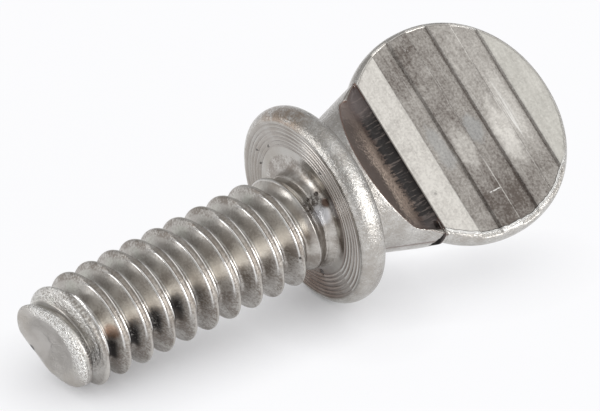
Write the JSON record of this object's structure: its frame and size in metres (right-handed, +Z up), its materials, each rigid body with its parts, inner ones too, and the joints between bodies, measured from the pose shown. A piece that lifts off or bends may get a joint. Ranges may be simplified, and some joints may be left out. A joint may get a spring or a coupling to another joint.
{
  "type": "thumb screw",
  "caption": "Stainless thumb screw in one piece, with a round flat grooved blade for a head, a flared neck and a bead-rimmed collar over a threaded shank.",
  "frame": {"origin": "where the axis of the thread meets the bearing face of the collar", "axes": "+X runs from the tip towards the head, level with the surface that the screw lies on; +Z is up from that surface, 2.9 mm above which the origin lies; the thread's axis is in the XZ plane and rises towards the head by the lean"},
  "size_m": [0.0186, 0.0063, 0.0064],
  "materials": {
    "steel": "satin, pickled stainless steel, bare"
  },
  "bodies": {
    "root": {"thumb_screw": "steel"}
  },
  "joints": []
}
